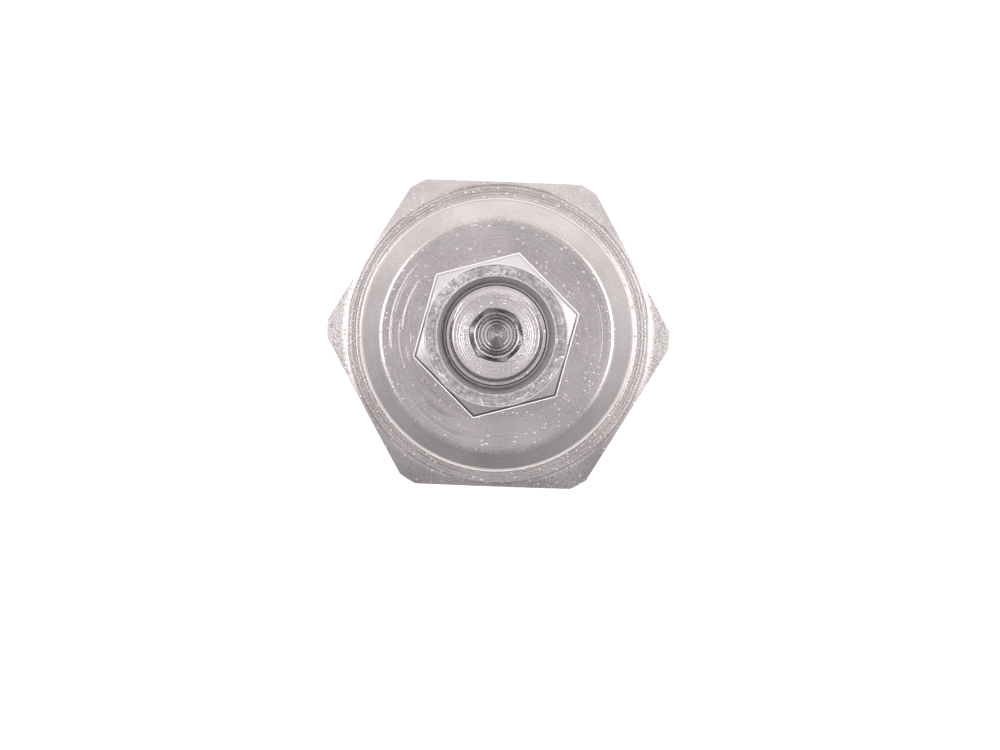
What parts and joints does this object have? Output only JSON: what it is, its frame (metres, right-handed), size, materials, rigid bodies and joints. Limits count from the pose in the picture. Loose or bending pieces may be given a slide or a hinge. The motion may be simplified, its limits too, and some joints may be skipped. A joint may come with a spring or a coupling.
{
  "type": "cylinder extension valve",
  "caption": "Screw-in load-holding hydraulic cartridge valve with a hexagon body, round boss, adjusting screw and lock nut.",
  "frame": {"origin": "centre of the nose's end face, on the valve's axis", "axes": "+Z along the valve's axis from the nose to the adjusting screw, two corners of the body's hexagon on X"},
  "size_m": [0.0286, 0.0254, 0.0752],
  "materials": {
    "body_steel": "turned steel with a clear plating, warm grey, fine turning marks",
    "nut_zinc": "bright zinc plating, bluish, scratched",
    "screw_steel": "plated screw, grainy end face",
    "sleeve_steel": "ground steel",
    "inner_steel": "hardened and ground steel",
    "spring_steel": "drawn spring wire",
    "ball_steel": "polished",
    "seal_rubber": "matte black nitrile",
    "backup_plastic": "ivory plastic"
  },
  "bodies": {
    "body": {"valve_body": "body_steel", "sleeve": "sleeve_steel", "sleeve_o_ring": "seal_rubber", "port_seal_o_ring": "seal_rubber", "mid_o_ring": "seal_rubber", "mid_backup_ring_lower": "backup_plastic", "mid_backup_ring_upper": "backup_plastic", "nose_o_ring": "seal_rubber", "nose_backup_ring_lower": "backup_plastic", "nose_backup_ring_upper": "backup_plastic", "nose_retaining_ring": "spring_steel", "check_spring_retainer": "inner_steel", "check_spring": "spring_steel", "main_spring": "spring_steel"},
    "check": {"check_ring": "inner_steel"},
    "relief": {"relief_piston": "inner_steel", "relief_o_ring": "seal_rubber", "relief_backup_ring": "backup_plastic", "pilot_o_ring": "seal_rubber", "pilot_backup_ring": "backup_plastic", "pivot_ball": "ball_steel", "lower_spring_pad": "inner_steel"},
    "adjuster": {"upper_spring_pad": "inner_steel", "pad_o_ring": "seal_rubber", "pad_backup_ring": "backup_plastic"},
    "screw": {"adjusting_screw": "screw_steel"},
    "nut_seal": {"nut_seal_ring": "backup_plastic"},
    "nut": {"lock_nut": "nut_zinc"}
  },
  "joints": [
    {"name": "adjuster_travel", "type": "slide", "parent": "body", "child": "adjuster", "axis": [0, 0, 1], "range_m": [-0.00208, 0.00187], "deforming": ["main_spring"]},
    {"name": "screw_turn", "type": "hinge", "parent": "adjuster", "child": "screw", "pos_m": [0, 0, 0.07], "axis": [0, 0, 1], "range_deg": [-600, 540]},
    {"name": "nut_rise", "type": "slide", "parent": "body", "child": "nut_seal", "axis": [0, 0, 1], "range_m": [0, 0.0025]},
    {"name": "nut_turn", "type": "hinge", "parent": "nut_seal", "child": "nut", "pos_m": [0, 0, 0.0725], "axis": [0, 0, 1], "range_deg": [0, 720]},
    {"name": "relief_lift", "type": "slide", "parent": "body", "child": "relief", "axis": [0, 0, 1], "range_m": [0, 0.0018], "stiffness_N_per_m": 36000},
    {"name": "check_open", "type": "slide", "parent": "body", "child": "check", "axis": [0, 0, -1], "range_m": [0, 0.002], "stiffness_N_per_m": 514, "springref_m": -0.00005, "deforming": ["check_spring"]}
  ],
  "couplings": [
    {"joint": "screw_turn", "follows": "adjuster_travel", "rad_per_m": 5026.5},
    {"joint": "nut_turn", "follows": "nut_rise", "rad_per_m": 5026.5}
  ]
}
